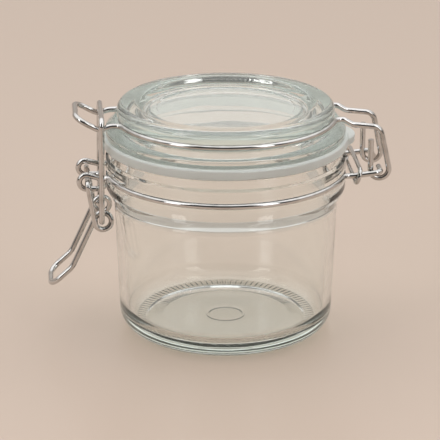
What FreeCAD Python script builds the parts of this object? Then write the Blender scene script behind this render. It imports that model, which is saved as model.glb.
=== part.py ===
"""Glass clip-top jar with a wire bail closure.

Frame: millimetres, +Z up, origin at the centre of the foot. The hinge is on +X and
the latch on -X. Near and far halves of every wire mirror each other across Y = 0.
"""
import FreeCAD, Part
import math
import os
import Sketcher
from FreeCAD import Placement, Rotation, Vector

DRIVING_SIZES = {
    # wires
    "wire": 2.0,                # diameter of every closure wire
    "keeper_wire": 1.6,
    "seat_play": 0.08,          # between a wire and the glass groove it lies in
    "corner_bend": 3.0,         # bend where an arm leaves a ring round the glass
    "tight_bend": 2.2,
    "easy_bend": 4.0,           # where a run only changes its slope
    # jar
    "foot_radius": 37.9,        # body radius drawn down to the foot, before the heel
    "shoulder_radius": 39.7,
    "shoulder_height": 48.0,
    "heel_bend": 7.5,
    "foot_ring_inner": 29.5,
    "push_up": 1.1,
    "wall": 3.1,
    "floor": 5.2,
    "bead_radius": 42.5,
    "bead_bottom": 53.2,
    "bead_top": 63.8,
    "finish_radius": 41.5,
    "finish_top": 68.0,
    "mouth_radius": 35.6,
    # lid and gasket
    "gasket_gap": 0.05,         # keeps the rubber off the glass it presses on
    "gasket_height": 3.5,
    "gasket_radius": 43.2,
    "gasket_hole": 34.8,
    "tab_reach": 45.8,
    "tab_bend": 13.5,           # the pull tab is a rounded ear
    "tab_height": 2.2,
    "flange_radius": 42.3,
    "flange_edge": 3.0,
    "rim_radius": 38.3,
    "rim_inner": 31.0,
    "lid_top": 83.5,
    "centre_radius": 29.0,
    "centre_height": 80.9,
    "plug_radius": 34.6,
    "plug_depth": 4.9,
    "dome_radius": 29.6,
    "dome_height": 76.0,
    # neck wire
    "neck_ring": 42.4,
    "neck_height": 58.7,
    "eye_reach": 49.5,
    "eye_height": 57.45,
    "eye_bend": 2.55,
    "eye_half_gap": 8.2,
    "eye_run_ring": 43.65,      # run that joins the eyes, against the bead below the neck
    "hinge_reach": 53.7,
    "hinge_height": 59.8,
    "hinge_half_width": 12.8,
    "keeper_tilt": 15.0,        # degrees
    "hinge_pin_end": 6.2,       # the hinge pins point at each other and stop here
    "keeper_reach": 45.6,
    "keeper_bend": 2.5,
    # lid wire
    "lid_ring": 38.6,
    "lid_wire_height": 78.2,
    "lid_arm_half_width": 8.8,
    "hook_half_width": 10.0,
    "hook_bend": 3.2,
    "elbow_bend": 3.4,
    "nose_bend": 4.3,
    "arm_drop": 1.9,            # step down of a hinge arm beside the flange
    "elbow_height": 75.1,
    "hook_out": 3.9,            # hook beside the hinge pin, outward, inward and below
    "hook_in": 3.4,
    "hook_drop": 3.0,
    "stub_top": 71.1,
    "nose_half_width": 10.3,
    "nose_reach": 52.9,
    "saddle_reach": 45.0,
    "saddle_height": 76.9,
    "nose_height": 81.3,
    # lever
    "pin_reach": 49.17,
    "pin_height": 57.4,
    "pin_inner_end": 5.6,
    "arm_half_width": 10.5,
    "coil_reach": 43.95,
    "coil_height": 43.15,
    "coil_bend": 2.85,
    "pin_bend": 1.6,            # also where the link's feet turn in
    "kink_bend": 9.0,
    "tip_bend": 4.5,
    "grip_half_width": 8.1,
    "kink_reach": 55.2,
    "kink_height": 25.8,
    "tip_reach": 62.8,
    "tip_height": 19.0,
    # link
    "foot_reach": 44.5,
    "foot_height": 43.6,
    "foot_inner_end": 6.4,
    "leg_half_width": 12.7,
    "bail_reach": 44.0,
    "bail_height": 80.55,
}

NEAR = -1
FAR = 1


def make_sheet(doc):
    sheet = doc.addObject("Spreadsheet::Sheet", "Sizes")
    for row, (alias, value) in enumerate(DRIVING_SIZES.items(), start=1):
        sheet.set(f"A{row}", alias.replace("_", " "))
        sheet.set(f"B{row}", str(value))
        sheet.setAlias(f"B{row}", alias)
    doc.recompute()
    return sheet


# ---- glass and rubber: turned bodies ------------------------------------------------

def origin_plane(body, role):
    return next(plane for plane in body.Origin.OriginFeatures if plane.Role == role)


def new_body(doc, label):
    body = doc.addObject("PartDesign::Body", label)
    body.Label = label
    return body


def new_sketch(body, name, role):
    sketch = body.newObject("Sketcher::SketchObject", name)
    sketch.AttachmentSupport = [(origin_plane(body, role), "")]
    sketch.MapMode = "FlatFace"
    return sketch


def place_point(sketch, edge, end, across, up):
    """Hold one end of a sketch edge at two sheet expressions, signed from the origin."""
    for kind, text in (("DistanceX", across), ("DistanceY", up)):
        index = sketch.addConstraint(Sketcher.Constraint(kind, -1, 1, edge, end, 1.0))
        sketch.setExpression(f"Constraints[{index}]", text)


def outline_sketch(body, sheet, name, corners, role="XZ_Plane"):
    """Closed straight-sided outline whose corners are pairs of sheet expressions."""
    sketch = new_sketch(body, name, role)
    texts = [(in_sheet(sheet, across), in_sheet(sheet, up)) for across, up in corners]
    points = [Vector(value_of(sheet, across), value_of(sheet, up), 0) for across, up in corners]
    count = len(points)
    for index, point in enumerate(points):
        sketch.addGeometry(Part.LineSegment(point, points[(index + 1) % count]), False)
    for index in range(count):
        sketch.addConstraint(Sketcher.Constraint("Coincident", index, 2, (index + 1) % count, 1))
    for index, (across, up) in enumerate(texts):
        place_point(sketch, index, 1, across, up)
    return sketch


def in_sheet(sheet, text):
    """Write each alias of an expression as a reference to the sheet."""
    parts = []
    word = ""
    for char in str(text) + " ":
        if char.isalnum() or char in "_.":
            word += char
            continue
        parts.append(f"{sheet.Name}.{word}" if word in DRIVING_SIZES else word)
        parts.append(char)
        word = ""
    return "".join(parts).strip()


def value_of(sheet, text):
    """First position of a sketch point, worked out by the sheet's own expression engine."""
    return float(sheet.evalExpression(in_sheet(sheet, text)))


def turn(body, sketch, kind="PartDesign::Revolution"):
    feature = body.newObject(kind, f"{sketch.Name}_turned")
    feature.Profile = sketch
    feature.ReferenceAxis = (sketch, ["V_Axis"])
    feature.Angle = 360.0
    sketch.Visibility = False
    return feature


def ring_edge(shape, radius, height):
    """Name of the circular edge nearest to a radius and a height."""
    best_name, best_error = None, 0.05
    for index, edge in enumerate(shape.Edges, start=1):
        if not isinstance(edge.Curve, Part.Circle):
            continue
        error = abs(edge.Curve.Radius - radius) + abs(edge.Curve.Center.z - height)
        if error < best_error:
            best_name, best_error = f"Edge{index}", error
    if best_name is None:
        raise RuntimeError(f"no round edge at radius {radius:.2f}, height {height:.2f}")
    return best_name


def round_edges(doc, body, sheet, name, radius_text, corners):
    """Round the turned edges that pass through the given outline corners."""
    doc.recompute()
    base = body.Tip
    names = [ring_edge(base.Shape, value_of(sheet, r), value_of(sheet, z)) for r, z in corners]
    fillet = body.newObject("PartDesign::Fillet", name)
    fillet.Base = (base, names)
    fillet.setExpression("Radius", in_sheet(sheet, radius_text))
    doc.recompute()
    return fillet


def wire_groove(doc, body, sheet, name, ring_text, height_text):
    """Half-round seat turned into the glass for a wire ring."""
    sketch = new_sketch(body, name, "XZ_Plane")
    centre = Vector(value_of(sheet, ring_text), value_of(sheet, height_text), 0)
    sketch.addGeometry(Part.Circle(centre, Vector(0, 0, 1), 1.0), False)
    place_point(sketch, 0, 3, in_sheet(sheet, ring_text), in_sheet(sheet, height_text))
    index = sketch.addConstraint(Sketcher.Constraint("Radius", 0, 1.0))
    sketch.setExpression(f"Constraints[{index}]", in_sheet(sheet, "wire / 2 + seat_play"))
    before = body.Shape.Volume
    turn(body, sketch, "PartDesign::Groove")
    doc.recompute()
    if body.Shape.Volume > before - 10:
        raise RuntimeError(f"{name} cuts nothing")


def make_jar_glass(doc, sheet):
    body = new_body(doc, "jar_glass")
    inner_top = "shoulder_radius - wall"
    inner_foot = "foot_radius - wall + 0.3"
    corners = [
        ("0", "push_up"),
        ("foot_ring_inner * 0.4", "push_up * 0.85"),
        ("foot_ring_inner * 0.75", "push_up * 0.4"),
        ("foot_ring_inner", "0"),
        ("foot_radius", "0"),
        ("shoulder_radius", "shoulder_height"),
        ("bead_radius", "bead_bottom"),
        ("bead_radius", "bead_top"),
        ("finish_radius", "bead_top + 0.8"),
        ("finish_radius", "finish_top"),
        ("mouth_radius", "finish_top"),
        ("mouth_radius", "bead_bottom + 1.5"),
        (inner_top, "shoulder_height - 2"),
        (inner_foot, "floor"),
        ("0", "floor - 0.6"),
    ]
    turn(body, outline_sketch(body, sheet, "jar_outline", corners))
    round_edges(doc, body, sheet, "heel", "heel_bend", [corners[4]])
    round_edges(doc, body, sheet, "floor_corner", "heel_bend * 0.75", [corners[13]])
    round_edges(doc, body, sheet, "shoulders", "heel_bend * 0.7", [corners[5], corners[12]])
    round_edges(doc, body, sheet, "bead_rounding", "wall / 2", [corners[6], corners[11]])
    round_edges(doc, body, sheet, "mouth_rounding", "wall / 3", [corners[9], corners[10]])
    round_edges(doc, body, sheet, "soft_steps", "wall / 8", [corners[7], corners[8]])
    wire_groove(doc, body, sheet, "neck_groove", "neck_ring", "neck_height")
    return body


def make_lid_glass(doc, sheet):
    body = new_body(doc, "lid_glass")
    seat = "finish_top + gasket_gap + gasket_height"
    corners = [
        ("0", "dome_height"),
        ("dome_radius", "dome_height"),
        ("dome_radius + 1.6", f"{seat} - plug_depth"),
        ("plug_radius", f"{seat} - plug_depth"),
        ("plug_radius", seat),
        ("flange_radius", seat),
        ("flange_radius", f"{seat} + flange_edge"),
        ("rim_radius + 1.5", "lid_wire_height - wire / 2 - 0.3"),
        ("rim_radius", "lid_wire_height - wire / 2 + 0.3"),
        ("rim_radius", "lid_top"),
        ("rim_inner", "lid_top"),
        ("centre_radius", "centre_height"),
        ("centre_radius - 1.8", "centre_height"),
        ("centre_radius - 2.3", "centre_height + 0.5"),
        ("centre_radius - 4.6", "centre_height + 0.5"),
        ("centre_radius - 5", "centre_height + 0.2"),
        ("0", "centre_height + 0.2"),
    ]
    turn(body, outline_sketch(body, sheet, "lid_outline", corners))
    round_edges(doc, body, sheet, "crest_outside", "flange_edge * 0.85", [corners[9]])
    round_edges(doc, body, sheet, "crest_inside", "flange_edge * 0.8", [corners[10]])
    round_edges(doc, body, sheet, "well_corner", "flange_edge / 3", [corners[11]])
    round_edges(doc, body, sheet, "dome_corner", "flange_edge", [corners[1]])
    round_edges(doc, body, sheet, "plug_lip", "flange_edge / 3", [corners[2], corners[3]])
    round_edges(doc, body, sheet, "flange_corner", "flange_edge / 2.5", [corners[6]])
    round_edges(doc, body, sheet, "flange_foot", "flange_edge / 5", [corners[5]])
    wire_groove(doc, body, sheet, "lid_groove", "lid_ring", "lid_wire_height")
    return body


def make_gasket(doc, sheet):
    """Rubber ring with its pull tab between the hinge arms."""
    body = new_body(doc, "gasket")
    bottom = "finish_top + gasket_gap"
    top = "finish_top + gasket_gap + gasket_height"
    corners = [
        ("gasket_hole", bottom),
        ("gasket_radius", bottom),
        ("gasket_radius", top),
        ("gasket_hole", top),
    ]
    turn(body, outline_sketch(body, sheet, "gasket_outline", corners))
    tab_sketch = new_sketch(body, "tab_outline", "XY_Plane")
    tab_sketch.addGeometry(Part.Circle(Vector(1, 0, 0), Vector(0, 0, 1), 1.0), False)
    place_point(tab_sketch, 0, 3, in_sheet(sheet, "tab_reach - tab_bend"), "0")
    index = tab_sketch.addConstraint(Sketcher.Constraint("Radius", 0, 1.0))
    tab_sketch.setExpression(f"Constraints[{index}]", in_sheet(sheet, "tab_bend"))
    middle = "finish_top + gasket_gap + gasket_height / 2"
    tab_sketch.setExpression("AttachmentOffset.Base.z", in_sheet(sheet, f"{middle} - tab_height / 2"))
    tab = body.newObject("PartDesign::Pad", "pull_tab")
    tab.Profile = tab_sketch
    tab.setExpression("Length", in_sheet(sheet, "tab_height"))
    tab_sketch.Visibility = False
    doc.recompute()
    inside = [("0", bottom), ("gasket_hole", bottom), ("gasket_hole", top), ("0", top)]
    turn(body, outline_sketch(body, sheet, "gasket_inside", inside), "PartDesign::Groove")
    round_edges(doc, body, sheet, "rubber_edges", "tab_height / 4", [corners[1], corners[2]])
    return body


# ---- wires: straight runs joined by tangent arcs, swept by a round section ---------

def blended(points, bends):
    """Edges along points, with a tangent arc at each inner point.

    A bend of None makes the arc as large as half of the shorter run beside it allows.
    """
    edges = []
    start = points[0]
    for index in range(1, len(points) - 1):
        corner = points[index]
        back = points[index - 1] - corner
        ahead = points[index + 1] - corner
        half_angle = back.getAngle(ahead) / 2
        bend = bends[index - 1]
        if bend is None:
            setback = min(back.Length, ahead.Length) / 2
            bend = setback * math.tan(half_angle)
        else:
            setback = bend / math.tan(half_angle)
        back.normalize()
        ahead.normalize()
        bisector = (back + ahead).normalize()
        first = corner + back * setback
        last = corner + ahead * setback
        middle = corner + bisector * (bend / math.sin(half_angle) - bend)
        if (first - start).Length > 1e-6:
            edges.append(Part.LineSegment(start, first).toShape())
        edges.append(Part.Arc(first, middle, last).toShape())
        start = last
    if (points[-1] - start).Length > 1e-6:
        edges.append(Part.LineSegment(start, points[-1]).toShape())
    return edges


def ring_exit(ring, half_width, bend):
    """Outward bend from a ring into an arm: points on the ring, the bend and the arm.

    They lie in the plan quarter x > 0, y > 0. The bend touches the ring from outside.
    """
    centre_y = half_width + bend
    centre_x = math.sqrt((ring + bend) ** 2 - centre_y ** 2)
    centre = Vector(centre_x, centre_y, 0)
    on_ring = centre * (ring / (ring + bend))
    on_arm = Vector(centre_x, half_width, 0)
    to_middle = ((on_ring - centre).normalize() + (on_arm - centre).normalize()).normalize()
    return on_ring, centre + to_middle * bend, on_arm


def seen_at(point, x_sign, y_sign, height):
    return Vector(point.x * x_sign, point.y * y_sign, height)


def half_ring(ring, latch_width, hinge_width, bend, height, side):
    """Edges of one half of a ring wire, from its latch arm to its hinge arm, and their ends."""
    latch_ring, latch_middle, latch_arm = ring_exit(ring, latch_width, bend)
    hinge_ring, hinge_middle, hinge_arm = ring_exit(ring, hinge_width, bend)
    start = seen_at(latch_arm, -1, side, height)
    end = seen_at(hinge_arm, 1, side, height)
    edges = [
        Part.Arc(start, seen_at(latch_middle, -1, side, height), seen_at(latch_ring, -1, side, height)),
        Part.Arc(
            seen_at(latch_ring, -1, side, height),
            Vector(0, ring * side, height),
            seen_at(hinge_ring, 1, side, height),
        ),
        Part.Arc(seen_at(hinge_ring, 1, side, height), seen_at(hinge_middle, 1, side, height), end),
    ]
    return [edge.toShape() for edge in edges], start, end


def mirrored(point):
    return Vector(point.x, -point.y, point.z)


def wire_piece(doc, sheet, label, edges, diameter_alias="wire"):
    """Round wire along edges that follow each other from the first to the last."""
    path = doc.addObject("Part::Feature", f"{label}_path")
    path.Shape = Part.Wire(Part.__sortEdges__(edges))
    first = path.Shape.OrderedEdges[0]
    begin = first.FirstParameter if first.Orientation == "Forward" else first.LastParameter
    section = doc.addObject("Part::Circle", f"{label}_section")
    section.setExpression("Radius", in_sheet(sheet, f"{diameter_alias} / 2"))
    section.Placement = Placement(first.valueAt(begin), Rotation(Vector(0, 0, 1), first.tangentAt(begin)))
    wire = doc.addObject("Part::Sweep", label)
    wire.Label = label
    wire.Sections = [section]
    wire.Spine = (path, [f"Edge{index}" for index in range(1, len(path.Shape.Edges) + 1)])
    wire.Solid = True
    wire.Frenet = False
    doc.recompute()
    length = path.Shape.Length
    area = math.pi * (sheet.get(diameter_alias) / 2) ** 2
    fullness = wire.Shape.Volume / (area * length)
    print(f"{label}: wire {length:.1f} mm, volume / (section x length) {fullness:.4f}")
    return wire


def touch_angle(point, centre, bend, sign):
    """Angle on a circle in the XZ plane where a line from the point touches it."""
    away = point - centre
    reach = math.hypot(away.x, away.z)
    return math.atan2(away.z, away.x) + sign * math.acos(bend / reach)


def arm_rise_start(sheet):
    """Where a hinge arm of the neck wire, level at first, starts to rise to its pin."""
    get = sheet.get
    on_arm = ring_exit(get("neck_ring"), get("hinge_half_width"), get("corner_bend"))[2]
    return on_arm.x + get("wire") * 0.6


def eye_edges(sheet, start, side):
    """A latch arm, its eye round the lever's pin, and the run back towards the jar."""
    get = sheet.get
    bend = get("eye_bend")
    width = get("eye_half_gap") * side
    centre = Vector(-get("eye_reach"), 0, get("eye_height"))

    def on_eye(angle):
        return Vector(centre.x + bend * math.cos(angle), width, centre.z + bend * math.sin(angle))

    rise = start - Vector(get("wire") * 0.35, 0, 0)
    touch = touch_angle(Vector(rise.x, 0, rise.z), centre, bend, 1)
    bottom = math.radians(270)
    back_ring, back_middle, back_arm = ring_exit(
        get("eye_run_ring"), -get("eye_half_gap"), get("corner_bend"))
    height = on_eye(bottom).z
    back_start = seen_at(back_arm, -1, -side, height)
    edges = blended([start, rise, on_eye(touch)], [get("easy_bend")])
    edges.append(Part.Arc(on_eye(touch), on_eye((touch + bottom) / 2), on_eye(bottom)).toShape())
    edges.append(Part.LineSegment(on_eye(bottom), back_start).toShape())
    on_ring = seen_at(back_ring, -1, -side, height)
    edges.append(Part.Arc(back_start, seen_at(back_middle, -1, -side, height), on_ring).toShape())
    return edges, on_ring


def make_neck_wire(doc, sheet):
    """One wire: hinge pin, half of the neck, eye, run between the eyes, and the same back."""
    get = sheet.get
    height = get("neck_height")
    edges = []
    eye_ends = {}
    for side in (NEAR, FAR):
        ring, latch_arm, hinge_arm = half_ring(
            get("neck_ring"), get("eye_half_gap"), get("hinge_half_width"), get("corner_bend"), height, side)
        eye, eye_ends[side] = eye_edges(sheet, latch_arm, side)
        width = get("hinge_half_width") * side
        points = [
            hinge_arm,
            Vector(arm_rise_start(sheet), width, height),
            Vector(get("hinge_reach"), width, get("hinge_height")),
            Vector(get("hinge_reach"), get("hinge_pin_end") * side, get("hinge_height")),
        ]
        edges += ring + eye + blended(points, [get("easy_bend"), get("tight_bend")])
    middle = Vector(-get("eye_run_ring"), 0, eye_ends[NEAR].z)
    edges.append(Part.Arc(eye_ends[NEAR], middle, eye_ends[FAR]).toShape())
    return wire_piece(doc, sheet, "neck_wire", edges)


def make_keeper_ring(doc, sheet):
    """Closed oval of thinner wire that holds the two hinge arms together."""
    get = sheet.get
    bend = get("keeper_bend")
    tilt = math.radians(get("keeper_tilt"))
    up = Vector(math.sin(tilt), 0, math.cos(tilt)) * bend
    arm_slope = (get("hinge_height") - get("neck_height")) / (get("hinge_reach") - arm_rise_start(sheet))
    top_run = get("keeper_reach") + up.x
    arm_height = get("neck_height") + arm_slope * (top_run - arm_rise_start(sheet))
    lift = (get("wire") + get("keeper_wire")) / 2 * math.hypot(1, arm_slope) + 3 * get("seat_play")
    centre = Vector(get("keeper_reach"), 0, arm_height + lift - up.z)
    reach = get("hinge_half_width") + (get("wire") + get("keeper_wire")) / 2 + 2.5 * get("seat_play")
    half_length = reach - bend
    along = Vector(0, half_length, 0)
    out = Vector(0, bend, 0)
    edges = [
        Part.LineSegment(centre - along + up, centre + along + up),
        Part.Arc(centre + along + up, centre + along + out, centre + along - up),
        Part.LineSegment(centre + along - up, centre - along - up),
        Part.Arc(centre - along - up, centre - along - out, centre - along + up),
    ]
    return wire_piece(doc, sheet, "keeper_ring", [edge.toShape() for edge in edges], "keeper_wire")


def make_lid_wire(doc, sheet):
    """One wire: hook, near half of the lid, nose loop, far half, hook."""
    get = sheet.get
    height = get("lid_wire_height")
    wire = get("wire")
    pin_x = get("hinge_reach")
    hook_bottom = get("hinge_height") - get("hook_drop")
    edges = []
    latch_arms = {}
    for side in (NEAR, FAR):
        ring, latch_arms[side], hinge_arm = half_ring(
            get("lid_ring"), get("nose_half_width"), get("lid_arm_half_width"),
            get("corner_bend"), height, side)
        edges.extend(ring)
        hook_y = get("hook_half_width") * side
        points = [
            hinge_arm,
            hinge_arm + Vector(wire * 0.45, 0, 0),
            hinge_arm + Vector(wire * 2, 0, -get("arm_drop")),
            Vector(pin_x, get("lid_arm_half_width") * side, get("elbow_height")),
            Vector(pin_x + get("hook_out"), hook_y, hook_bottom),
            Vector(pin_x - get("hook_in"), hook_y, hook_bottom),
            Vector(pin_x - get("hook_in"), hook_y, get("stub_top")),
        ]
        bends = ("tight_bend", "corner_bend", "elbow_bend", "hook_bend", "hook_bend")
        edges.extend(blended(points, [get(name) for name in bends]))
    dip = latch_arms[NEAR] - Vector(wire * 0.6, 0, 0)
    saddle = Vector(-get("saddle_reach"), -get("nose_half_width"), get("saddle_height"))
    tip = Vector(-get("nose_reach"), -get("nose_half_width"), get("nose_height"))
    points = [latch_arms[NEAR], dip, saddle, tip, mirrored(tip), mirrored(saddle), mirrored(dip),
              latch_arms[FAR]]
    bends = [get("easy_bend"), get("easy_bend"), get("nose_bend")]
    edges.extend(blended(points, bends + bends[::-1]))
    return wire_piece(doc, sheet, "lid_wire", edges)


def coil_points(sheet, pin, kink, side, turns=8):
    """Corners of the round coil that the lever arm makes before it runs on as the grip."""
    get = sheet.get
    centre = Vector(-get("coil_reach"), 0, get("coil_height"))
    bend = get("coil_bend")

    first = touch_angle(pin, centre, bend, 1)
    last = touch_angle(kink, centre, bend, -1)
    while last < first:
        last += 2 * math.pi
    step = (last - first) / turns
    reach = bend / math.cos(step / 2)
    outer = get("arm_half_width")
    drift = outer - get("grip_half_width")
    points = []
    for index in range(turns):
        angle = first + (index + 0.5) * step
        across = (outer - drift * (index + 0.5) / turns) * side
        points.append(Vector(centre.x + reach * math.cos(angle), across, centre.z + reach * math.sin(angle)))
    return points


def make_lever(doc, sheet):
    """One wire: pin end, arm, coil and grip on each side, joined at the tip."""
    get = sheet.get
    pin = Vector(-get("pin_reach"), 0, get("pin_height"))
    kink = Vector(-get("kink_reach"), 0, get("kink_height"))
    tip = Vector(-get("tip_reach"), 0, get("tip_height"))

    def beside(point, across):
        return Vector(point.x, across, point.z)

    arm = get("arm_half_width") * NEAR
    grip = get("grip_half_width") * NEAR
    coil = coil_points(sheet, pin, kink, NEAR)
    near_half = [beside(pin, get("pin_inner_end") * NEAR), beside(pin, arm)]
    near_half += coil + [beside(kink, grip), beside(tip, grip)]
    points = near_half + [mirrored(point) for point in reversed(near_half)]
    near_bends = [get("pin_bend")] + [None] * len(coil) + [get("kink_bend"), get("tip_bend")]
    return wire_piece(doc, sheet, "lever", blended(points, near_bends + near_bends[::-1]))


def make_link(doc, sheet):
    """Bail that hangs on the lever's coils and lies over the nose loop."""
    get = sheet.get
    foot = Vector(-get("foot_reach"), 0, get("foot_height"))
    leg = Vector(0, get("leg_half_width"), 0)
    bail = Vector(-get("bail_reach"), 0, get("bail_height"))
    inner = Vector(0, get("foot_inner_end"), 0)
    points = [foot - inner, foot - leg, bail - leg, bail + leg, foot + leg, foot + inner]
    bends = [get("pin_bend"), get("tight_bend"), get("tight_bend"), get("pin_bend")]
    return wire_piece(doc, sheet, "link", blended(points, bends))


MAKERS = (
    make_jar_glass,
    make_neck_wire,
    make_keeper_ring,
    make_lid_glass,
    make_gasket,
    make_lid_wire,
    make_lever,
    make_link,
)


def check(doc, parts):
    for item in doc.Objects:
        if "Invalid" in item.State or "Error" in item.State:
            raise RuntimeError(f"{item.Label} failed: {item.State}")
    for part in parts:
        shape = part.Shape
        if shape.isNull() or not shape.isValid():
            raise RuntimeError(f"{part.Label} has no valid shape")
        if len(shape.Solids) != 1:
            raise RuntimeError(f"{part.Label} has {len(shape.Solids)} solids")


def main():
    doc = FreeCAD.newDocument("clip_top_jar")
    sheet = make_sheet(doc)
    parts = [maker(doc, sheet) for maker in MAKERS]
    doc.recompute()
    check(doc, parts)
    os.makedirs("parts", exist_ok=True)
    for part in parts:
        part.Shape.exportStep(f"parts/{part.Label}.step")
        box = part.Shape.BoundBox
        print(f"{part.Label}: {part.Shape.Volume:.0f} mm3, z {box.ZMin:.2f} to {box.ZMax:.2f}")


main()
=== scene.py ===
import math

import bpy
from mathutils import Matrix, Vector


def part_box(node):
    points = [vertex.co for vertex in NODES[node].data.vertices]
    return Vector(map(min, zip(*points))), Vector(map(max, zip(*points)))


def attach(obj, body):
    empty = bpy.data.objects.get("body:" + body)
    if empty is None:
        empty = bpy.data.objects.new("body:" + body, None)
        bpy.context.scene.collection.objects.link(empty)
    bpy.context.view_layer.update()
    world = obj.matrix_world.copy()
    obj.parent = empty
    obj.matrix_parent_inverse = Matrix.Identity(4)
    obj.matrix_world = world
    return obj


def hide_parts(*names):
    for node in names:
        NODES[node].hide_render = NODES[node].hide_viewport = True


bl_info = {
    "name": "Clip-top jar",
    "version": (1, 0, 0),
    "blender": (4, 5, 0),
    "location": "View3D > Sidebar > Jar",
    "description": "Glass, rubber and wire looks for a clip-top jar, with its studio",
    "category": "Object",
}

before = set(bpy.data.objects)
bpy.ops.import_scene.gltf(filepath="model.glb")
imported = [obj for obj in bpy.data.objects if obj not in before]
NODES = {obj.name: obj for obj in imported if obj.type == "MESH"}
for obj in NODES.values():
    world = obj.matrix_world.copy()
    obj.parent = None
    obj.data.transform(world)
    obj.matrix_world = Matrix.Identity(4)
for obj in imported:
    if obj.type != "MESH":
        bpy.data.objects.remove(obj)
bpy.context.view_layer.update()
WIRES = ("neck_wire", "keeper_ring", "lid_wire", "lever", "link")
MM = 0.001
SEAT_HEIGHT, SEAT = 58.7 * MM, 1.08 * MM
SHOULDER_HEIGHT, BEAD_LOW, BEAD_HIGH = 48.0 * MM, 53.2 * MM, 63.8 * MM
UNDERSIDE = 2.5 * MM
FLOOR_HALF = 4.0


def length(name, description, default):
    return bpy.props.FloatProperty(
        name=name, description=description, default=default, min=0.0, subtype="DISTANCE", unit="LENGTH")


def angle(name, description, degrees):
    return bpy.props.FloatProperty(
        name=name, description=description, default=math.radians(degrees), subtype="ANGLE", unit="ROTATION")


def share(name, description, default):
    return bpy.props.FloatProperty(
        name=name, description=description, default=default, min=0.0, max=1.0, subtype="FACTOR")


def colour(name, description, default):
    return bpy.props.FloatVectorProperty(
        name=name, description=description, default=default, size=3, min=0.0, max=1.0, subtype="COLOR")


# ---- what a user may change -----------------------------------------------------------

class JarGlassSettings(bpy.types.PropertyGroup):
    """The pressed jar."""

    foot: length("Foot radius", "Radius of the jar drawn down to the foot, before its heel", 37.9 * MM)
    heel: length("Heel bend", "Bend of the outside from the foot to the wall", 7.5 * MM)
    shoulder: length("Shoulder radius", "Radius of the jar under its neck", 39.7 * MM)
    bead: length("Bead radius", "Radius of the band that the neck wire sits in", 42.5 * MM)
    finish: length("Finish radius", "Radius of the ring above the band", 41.5 * MM)
    mouth: length("Mouth radius", "Radius of the jar's mouth", 35.6 * MM)
    wall: length("Wall", "Thickness of the jar's wall", 3.1 * MM)
    floor: length("Floor", "Height of the inside floor", 5.2 * MM)
    push_up: length("Push-up", "How far the foot is hollowed under its middle", 1.1 * MM)
    standing_ring: length("Standing ring", "Inner radius of the ring that the jar stands on", 29.5 * MM)
    mark: length("Mould ring", "Radius of the plain ring under the middle", 6.5 * MM)
    bars: bpy.props.IntProperty(
        name="Bars", description="Short bars pressed round the standing ring", default=96, min=12, max=180)
    bar_depth: length("Bar depth", "How deep the foot is cut between the bars", 0.6 * MM)


class GlassFinishSettings(bpy.types.PropertyGroup):
    """The glass itself."""

    surface: colour("Surface", "Colour that one surface passes", (0.985, 0.995, 0.988))
    depth: colour("Depth", "Colour that thick glass turns white light to", (0.35, 0.80, 0.55))
    density: bpy.props.FloatProperty(
        name="Density", description="How soon thick glass takes its colour, per metre", default=2.8, min=0.0)
    lid_haze: share("Lid haze", "Milky share of the lid's sunken middle", 0.16)
    lid_haze_radius: length("Lid haze radius", "Where the milky middle of the lid ends", 27.5 * MM)
    jar_haze: share("Jar haze", "Milky share of the jar's foot", 0.025)
    jar_haze_radius: length("Jar haze radius", "Where the milky part of the foot ends", 36.0 * MM)


class WireSettings(bpy.types.PropertyGroup):
    """The bright plated wires."""

    plating: colour("Plating", "Colour of the plating", (0.63, 0.62, 0.61))
    worn: colour("Worn plating", "Colour of the plating where it is duller", (0.42, 0.41, 0.39))
    polish: share("Roughness", "Roughness of the plating", 0.06)


class SealSettings(bpy.types.PropertyGroup):
    """The rubber seal."""

    rubber: colour("Rubber", "Milky colour of the rubber", (0.85, 0.87, 0.85))
    cloudy: colour("Cloudy rubber", "Colour of the rubber where it is cloudier", (0.78, 0.80, 0.77))


class StudioSettings(bpy.types.PropertyGroup):
    """Floor, light and camera."""

    floor: colour("Floor", "Colour of the floor", (0.56, 0.445, 0.365))
    azimuth: angle("Azimuth", "Angle of the camera round the jar", -4.7)
    elevation: angle("Elevation", "Angle of the camera above the floor", 19.6)
    distance: length("Distance", "From the camera to the jar's middle", 0.8)
    window: bpy.props.FloatProperty(
        name="Window", description="Brightness of the two tall windows, where white is 1", default=3.0, min=0.0)


# ---- nodes ----------------------------------------------------------------------------

def new_material(name):
    material = bpy.data.materials.new(name)
    material.use_nodes = True
    tree = material.node_tree
    tree.nodes.clear()
    return material, tree, tree.nodes.new("ShaderNodeOutputMaterial")


def add(tree, kind, **inputs):
    """A node with the sockets named in inputs set; a socket given as input is linked."""
    node = tree.nodes.new(kind)
    for name, value in inputs.items():
        socket = node.inputs[name.replace("_", " ")]
        if isinstance(value, bpy.types.NodeSocket):
            tree.links.new(value, socket)
        else:
            socket.default_value = value
    return node


def opaque(rgb):
    return (*rgb, 1.0)


def noise(tree, scale, detail=3.0, roughness=0.5):
    place = tree.nodes.new("ShaderNodeTexCoord")
    return add(tree, "ShaderNodeTexNoise", Vector=place.outputs["Object"], Scale=scale, Detail=detail,
               Roughness=roughness).outputs["Fac"]


def spread(tree, value, low, high, start=0.35, end=0.65):
    node = add(tree, "ShaderNodeMapRange", Value=value, From_Min=start, From_Max=end, To_Min=low, To_Max=high)
    return node.outputs["Result"]


def blend_colours(tree, factor, first, second):
    node = tree.nodes.new("ShaderNodeMix")
    node.data_type = "RGBA"
    tree.links.new(factor, node.inputs["Factor"])
    if isinstance(first, bpy.types.NodeSocket):
        tree.links.new(first, node.inputs["A"])
    else:
        node.inputs["A"].default_value = opaque(first)
    node.inputs["B"].default_value = opaque(second)
    return node.outputs["Result"]


def mixed(tree, factor, first, second):
    mix = tree.nodes.new("ShaderNodeMixShader")
    for socket, source in zip(mix.inputs, (factor, first, second)):
        tree.links.new(source, socket)
    return mix.outputs[0]


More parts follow.
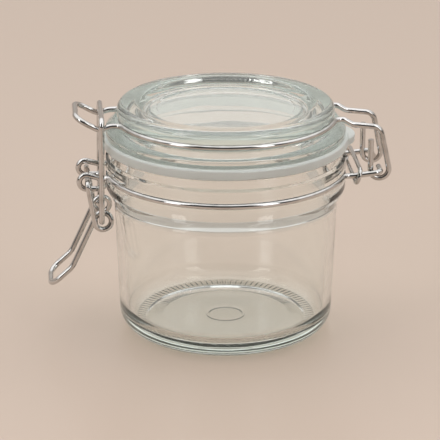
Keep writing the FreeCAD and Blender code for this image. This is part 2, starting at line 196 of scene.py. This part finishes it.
def clear_glass(name, haze, haze_radius):
    """Clear glass with faint waves, a little milky in its middle."""
    finish = bpy.context.scene.jar_glass_finish
    material, tree, output = new_material(name)
    waves = add(tree, "ShaderNodeBump", Strength=0.12, Distance=0.4 * MM, Height=noise(tree, 55.0, 1.0))
    glass = add(tree, "ShaderNodeBsdfPrincipled", IOR=1.51, Transmission_Weight=1.0,
                Base_Color=opaque(finish.surface),
                Roughness=spread(tree, noise(tree, 120.0), 0.0, 0.025), Normal=waves.outputs["Normal"])
    through = add(tree, "ShaderNodeBsdfTransparent", Color=(0.87, 0.885, 0.87, 1.0))
    ray = tree.nodes.new("ShaderNodeLightPath")
    place = tree.nodes.new("ShaderNodeTexCoord").outputs["Object"]
    flat = tree.nodes.new("ShaderNodeVectorMath")
    flat.operation = "MULTIPLY"
    tree.links.new(place, flat.inputs[0])
    flat.inputs[1].default_value = (1.0, 1.0, 0.0)
    across = tree.nodes.new("ShaderNodeVectorMath")
    across.operation = "LENGTH"
    tree.links.new(flat.outputs[0], across.inputs[0])
    milk = spread(tree, across.outputs["Value"], haze, 0.25 * haze, haze_radius - 2 * MM, haze_radius)
    cloud = add(tree, "ShaderNodeBsdfDiffuse", Color=(0.86, 0.88, 0.86, 1.0))
    clear = mixed(tree, milk, glass.outputs[0], cloud.outputs[0])
    surface = mixed(tree, ray.outputs["Is Shadow Ray"], clear, through.outputs[0])
    tree.links.new(surface, output.inputs["Surface"])
    soak = add(tree, "ShaderNodeVolumeAbsorption", Color=opaque(finish.depth), Density=finish.density)
    tree.links.new(soak.outputs[0], output.inputs["Volume"])
    return material


def bright_plating():
    wire = bpy.context.scene.jar_wire
    material, tree, output = new_material("bright_plating")
    grain = noise(tree, 900.0, 4.0)
    dull = spread(tree, noise(tree, 160.0, 5.0), 0.0, 1.0, 0.5, 0.75)
    bump = add(tree, "ShaderNodeBump", Strength=0.12, Distance=0.05 * MM, Height=grain)
    metal = add(tree, "ShaderNodeBsdfPrincipled", Metallic=1.0,
                Base_Color=blend_colours(tree, dull, wire.plating, wire.worn),
                Roughness=spread(tree, grain, 0.6 * wire.polish, 1.6 * wire.polish),
                Normal=bump.outputs["Normal"])
    tree.links.new(metal.outputs[0], output.inputs["Surface"])
    return material


def milky_rubber():
    seal = bpy.context.scene.jar_seal
    material, tree, output = new_material("milky_rubber")
    grain = noise(tree, 700.0, 4.0)
    bump = add(tree, "ShaderNodeBump", Strength=0.2, Distance=0.06 * MM, Height=grain)
    rubber = add(tree, "ShaderNodeBsdfPrincipled", IOR=1.41, Transmission_Weight=0.35,
                 Base_Color=blend_colours(tree, noise(tree, 90.0), seal.rubber, seal.cloudy),
                 Roughness=spread(tree, grain, 0.30, 0.42), Normal=bump.outputs["Normal"],
                 Subsurface_Weight=0.6, Subsurface_Radius=(1.0, 1.0, 1.0), Subsurface_Scale=2.0 * MM)
    tree.links.new(rubber.outputs[0], output.inputs["Surface"])
    return material


def plain_floor():
    studio = bpy.context.scene.jar_studio
    material, tree, output = new_material("plain_floor")
    floor = add(tree, "ShaderNodeBsdfPrincipled", Base_Color=opaque(studio.floor), Roughness=0.34)
    tree.links.new(floor.outputs[0], output.inputs["Surface"])
    return material


def dress(nodes, material):
    for name in nodes:
        slots = NODES[name].data.materials
        slots.clear()
        slots.append(material)


# ---- turned glass -----------------------------------------------------------------------

def rounded(corners, steps=7):
    """Outline of (radius, height) points from corners of (radius, height, bend)."""
    outline = []
    for index, (across, up, bend) in enumerate(corners):
        corner = Vector((across, up))
        if bend <= 0 or index in (0, len(corners) - 1):
            outline.append(corner)
            continue
        back = Vector(corners[index - 1][:2]) - corner
        ahead = Vector(corners[index + 1][:2]) - corner
        half = back.angle(ahead) / 2
        setback = min(bend / math.tan(half), 0.92 * back.length, 0.92 * ahead.length)
        bend = setback * math.tan(half)
        centre = corner + (back.normalized() + ahead.normalized()).normalized() * (bend / math.sin(half))
        start = corner + back.normalized() * setback - centre
        sweep = start.angle_signed(corner + ahead.normalized() * setback - centre)
        first = math.atan2(start.y, start.x)
        for step in range(steps + 1):
            turn = first - sweep * step / steps
            outline.append(centre + bend * Vector((math.cos(turn), math.sin(turn))))
    return outline


def divided(outline, longest):
    """The outline with its long runs divided, and kept flat close to their ends."""
    points = [outline[0]]
    for start, end in zip(outline, outline[1:]):
        run = (end - start).length
        if run > longest:
            edge = 0.15 * MM / run
            count = math.ceil(run / longest)
            shares = [edge, *(step / count for step in range(1, count)), 1 - edge]
            points += [start.lerp(end, part) for part in shares]
        points.append(end)
    return points


def turned(name, outline, segments, relief):
    """Closed turned mesh; the outline runs from under the middle, round the wall, to the inside floor."""
    rings = outline[1:-1]
    corners = [(0.0, 0.0, outline[0].y)]
    for point in rings:
        for segment in range(segments):
            turn = math.tau * segment / segments
            corners.append((point.x * math.cos(turn), point.x * math.sin(turn),
                            point.y + relief(point.x, point.y, turn)))
    corners.append((0.0, 0.0, outline[-1].y))
    last = len(corners) - 1
    faces = []
    for segment in range(segments):
        following = (segment + 1) % segments
        faces.append((0, 1 + following, 1 + segment))
        for ring in range(len(rings) - 1):
            low = 1 + ring * segments
            high = low + segments
            faces.append((low + segment, low + following, high + following, high + segment))
        faces.append((last - segments + segment, last - segments + following, last))
    mesh = bpy.data.meshes.new(name)
    mesh.from_pydata(corners, [], faces)
    mesh.polygons.foreach_set("use_smooth", [True] * len(mesh.polygons))
    mesh.update()
    piece = bpy.data.objects.new(name, mesh)
    bpy.context.scene.collection.objects.link(piece)
    return piece


def pressed_jar():
    """The jar with the seat of its neck wire, its pressed foot and the plain ring under its middle."""
    jar = bpy.context.scene.jar_glass_sizes
    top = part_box("jar_glass")[1][2]
    seat_ring = jar.bead - 0.1 * MM
    groove = []
    for step in range(13):
        turn = math.radians(-95.3 + 190.6 * step / 12)
        groove.append((seat_ring - SEAT * math.cos(turn), SEAT_HEIGHT + SEAT * math.sin(turn), 0.0))
    corners = [
        (0.0, jar.push_up, 0.0),
        (jar.standing_ring * 0.77, jar.push_up * 0.85, 6 * MM),
        (jar.standing_ring * 0.94, jar.push_up * 0.35, 3 * MM),
        (jar.standing_ring, 0.0, 0.5 * MM),
        (jar.foot, 0.0, jar.heel),
        (jar.shoulder, SHOULDER_HEIGHT, 0.7 * jar.heel),
        (jar.bead, BEAD_LOW, jar.wall / 2),
        *groove,
        (jar.bead, BEAD_HIGH, jar.wall / 8),
        (jar.finish, BEAD_HIGH + 0.8 * MM, jar.wall / 8),
        (jar.finish, top, jar.wall / 3),
        (jar.mouth, top, jar.wall / 3),
        (jar.mouth, BEAD_LOW + 1.5 * MM, jar.wall / 2),
        (jar.shoulder - jar.wall, SHOULDER_HEIGHT - 2 * MM, 0.7 * jar.heel),
        (jar.foot - jar.wall + 0.3 * MM, jar.floor, 0.75 * jar.heel),
        (0.0, jar.floor - 0.6 * MM, 0.0),
    ]
    bars_from, bars_to = jar.standing_ring - 0.4 * MM, jar.standing_ring + 3.8 * MM

    def relief(across, up, turn):
        if up > UNDERSIDE:
            return 0.0
        rise = 0.0
        if bars_from < across < bars_to:
            ease = min(across - bars_from, bars_to - across) / (0.5 * MM)
            rise += jar.bar_depth * min(ease, 1.0) * (0.5 - 0.5 * math.cos(turn * jar.bars))
        beside = abs(across - jar.mark) / (0.9 * MM)
        if beside < 1.0:
            rise -= 0.14 * MM * (0.5 + 0.5 * math.cos(math.pi * beside))
        return rise

    outline = []
    for point in divided(rounded(corners), 2.6 * MM):
        if outline and bars_from - 1 * MM < point.x < bars_to + 1 * MM and point.y < UNDERSIDE:
            gap = math.ceil((point - outline[-1]).length / (0.45 * MM))
            outline += [outline[-1].lerp(point, step / gap) for step in range(1, gap)]
        elif outline and point.x < 8.2 * MM and point.y < UNDERSIDE:
            gap = math.ceil((point - outline[-1]).length / (0.3 * MM))
            outline += [outline[-1].lerp(point, step / gap) for step in range(1, gap)]
        outline.append(point)
    return turned("pressed_jar", outline, 4 * jar.bars, relief)


# ---- the makers -------------------------------------------------------------------------

class JAR_OT_glass(bpy.types.Operator):
    """Turn the jar with its pressed foot, and give the jar and the lid their glass"""

    bl_idname = "jar.glass"
    bl_label = "Glass"

    def execute(self, context):
        finish = context.scene.jar_glass_finish
        jar = pressed_jar()
        jar.data.materials.append(clear_glass("clear_soda_glass", finish.jar_haze, finish.jar_haze_radius))
        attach(jar, "jar")
        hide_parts("jar_glass")
        dress(("lid_glass",), clear_glass("pressed_lid_glass", finish.lid_haze, finish.lid_haze_radius))
        return {"FINISHED"}


class JAR_OT_seal(bpy.types.Operator):
    """Give the seal its milky rubber"""

    bl_idname = "jar.seal"
    bl_label = "Seal"

    def execute(self, context):
        dress(("gasket",), milky_rubber())
        return {"FINISHED"}


class JAR_OT_wires(bpy.types.Operator):
    """Plate the closure's wires"""

    bl_idname = "jar.wires"
    bl_label = "Wires"

    def execute(self, context):
        dress(WIRES, bright_plating())
        return {"FINISHED"}


def room(turn):
    """Pale room with warm low walls, a bright ceiling and a dark end behind the viewer."""
    world = bpy.data.worlds.new("room")
    world.use_nodes = True
    tree = world.node_tree
    tree.nodes.clear()
    outlook = tree.nodes.new("ShaderNodeTexCoord").outputs["Generated"]
    height = add(tree, "ShaderNodeSeparateXYZ", Vector=outlook).outputs["Z"]
    ramp = tree.nodes.new("ShaderNodeValToRGB")
    tree.links.new(height, ramp.inputs["Fac"])
    stops = ramp.color_ramp.elements
    stops[0].position, stops[0].color = 0.0, (0.31, 0.27, 0.24, 1)
    stops[1].position, stops[1].color = 0.8, (1.0, 1.0, 1.0, 1)
    for position, tone in ((0.33, (0.38, 0.35, 0.32, 1)), (0.5, (0.72, 0.71, 0.70, 1))):
        stops.new(position).color = tone
    facing = tree.nodes.new("ShaderNodeVectorMath")
    facing.operation = "DOT_PRODUCT"
    tree.links.new(outlook, facing.inputs[0])
    facing.inputs[1].default_value = (math.sin(turn), -math.cos(turn), 0.0)
    dark_side = add(tree, "ShaderNodeMapRange", Value=facing.outputs["Value"], From_Min=0.20, From_Max=0.50)
    dark_side.interpolation_type = "SMOOTHSTEP"
    below_ceiling = add(tree, "ShaderNodeMapRange", Value=height, From_Min=0.76, From_Max=0.92,
                        To_Min=1.0, To_Max=0.0)
    below_ceiling.interpolation_type = "SMOOTHSTEP"
    dark_end = tree.nodes.new("ShaderNodeMath")
    dark_end.operation = "MULTIPLY"
    tree.links.new(dark_side.outputs["Result"], dark_end.inputs[0])
    tree.links.new(below_ceiling.outputs["Result"], dark_end.inputs[1])
    shade = blend_colours(tree, dark_end.outputs["Value"], ramp.outputs["Color"], (0.035, 0.035, 0.035))
    light = add(tree, "ShaderNodeBackground", Color=shade, Strength=1.5)
    output = tree.nodes.new("ShaderNodeOutputWorld")
    tree.links.new(light.outputs[0], output.inputs["Surface"])
    return world


def soft_box(name, place, aim, width, height, radiance):
    lamp = bpy.data.lights.new(name, "AREA")
    lamp.shape = "RECTANGLE"
    lamp.size, lamp.size_y = width, height
    lamp.energy = radiance * math.pi * width * height
    box = bpy.data.objects.new(name, lamp)
    bpy.context.scene.collection.objects.link(box)
    box.location = place
    box.rotation_mode = "QUATERNION"
    box.rotation_quaternion = (Vector(aim) - Vector(place)).to_track_quat("-Z", "Y")
    return box


class JAR_OT_studio(bpy.types.Operator):
    """Make the floor, the lights and the camera"""

    bl_idname = "jar.studio"
    bl_label = "Studio"

    def execute(self, context):
        scene = context.scene
        studio = scene.jar_studio
        mesh = bpy.data.meshes.new("floor")
        corners = [(x * FLOOR_HALF, y * FLOOR_HALF, 0)
                   for x, y in ((-1, -1), (1, -1), (1, 1), (-1, 1))]
        mesh.from_pydata(corners, [], [(0, 1, 2, 3)])
        mesh.materials.append(plain_floor())
        floor = bpy.data.objects.new("floor", mesh)
        scene.collection.objects.link(floor)

        turn, lift = studio.azimuth, studio.elevation
        scene.world = room(turn)
        middle = Vector((0.0, 0.0, 45.0 * MM))
        for name, side in (("window_left", -50.0), ("window_right", 42.0)):
            bearing, height = turn + math.radians(side), math.radians(31.0)
            away = Vector((math.sin(bearing) * math.cos(height), -math.cos(bearing) * math.cos(height),
                           math.sin(height)))
            soft_box(name, middle + 1.5 * away, middle, 0.40, 1.25, studio.window)

        across = Vector((math.cos(turn), math.sin(turn), 0.0))
        target = across * -2.0 * MM + Vector((0, 0, 39.0 * MM))
        back = Vector((math.sin(turn) * math.cos(lift), -math.cos(turn) * math.cos(lift), math.sin(lift)))
        camera = bpy.data.objects.new("camera", bpy.data.cameras.new("camera"))
        scene.collection.objects.link(camera)
        camera.data.sensor_width = 36.0
        camera.data.lens = 183.0
        camera.location = target + back * studio.distance
        camera.rotation_mode = "QUATERNION"
        camera.rotation_quaternion = (-back).to_track_quat("-Z", "Y")
        scene.camera = camera
        scene.view_settings.view_transform = "Standard"
        return {"FINISHED"}


STEPS = (JAR_OT_glass, JAR_OT_seal, JAR_OT_wires, JAR_OT_studio)
SETTINGS = {
    "jar_glass_sizes": JarGlassSettings,
    "jar_glass_finish": GlassFinishSettings,
    "jar_wire": WireSettings,
    "jar_seal": SealSettings,
    "jar_studio": StudioSettings,
}


class JAR_PT_sidebar(bpy.types.Panel):
    """The makers and what they use"""

    bl_idname = "JAR_PT_sidebar"
    bl_label = "Clip-top jar"
    bl_space_type = "VIEW_3D"
    bl_region_type = "UI"
    bl_category = "Jar"

    def draw(self, context):
        for step in STEPS:
            self.layout.operator(step.bl_idname)
        for name in SETTINGS:
            group = getattr(context.scene, name)
            box = self.layout.box()
            for prop in group.bl_rna.properties:
                if prop.identifier not in ("rna_type", "name"):
                    box.prop(group, prop.identifier)


CLASSES = (*SETTINGS.values(), *STEPS, JAR_PT_sidebar)


def register():
    for made in CLASSES:
        bpy.utils.register_class(made)
    for name, group in SETTINGS.items():
        setattr(bpy.types.Scene, name, bpy.props.PointerProperty(type=group))


def unregister():
    for name in SETTINGS:
        delattr(bpy.types.Scene, name)
    for made in reversed(CLASSES):
        bpy.utils.unregister_class(made)


def main():
    register()
    bpy.ops.jar.glass()
    bpy.ops.jar.seal()
    bpy.ops.jar.wires()
    bpy.ops.jar.studio()


if __name__ == "__main__":
    main()
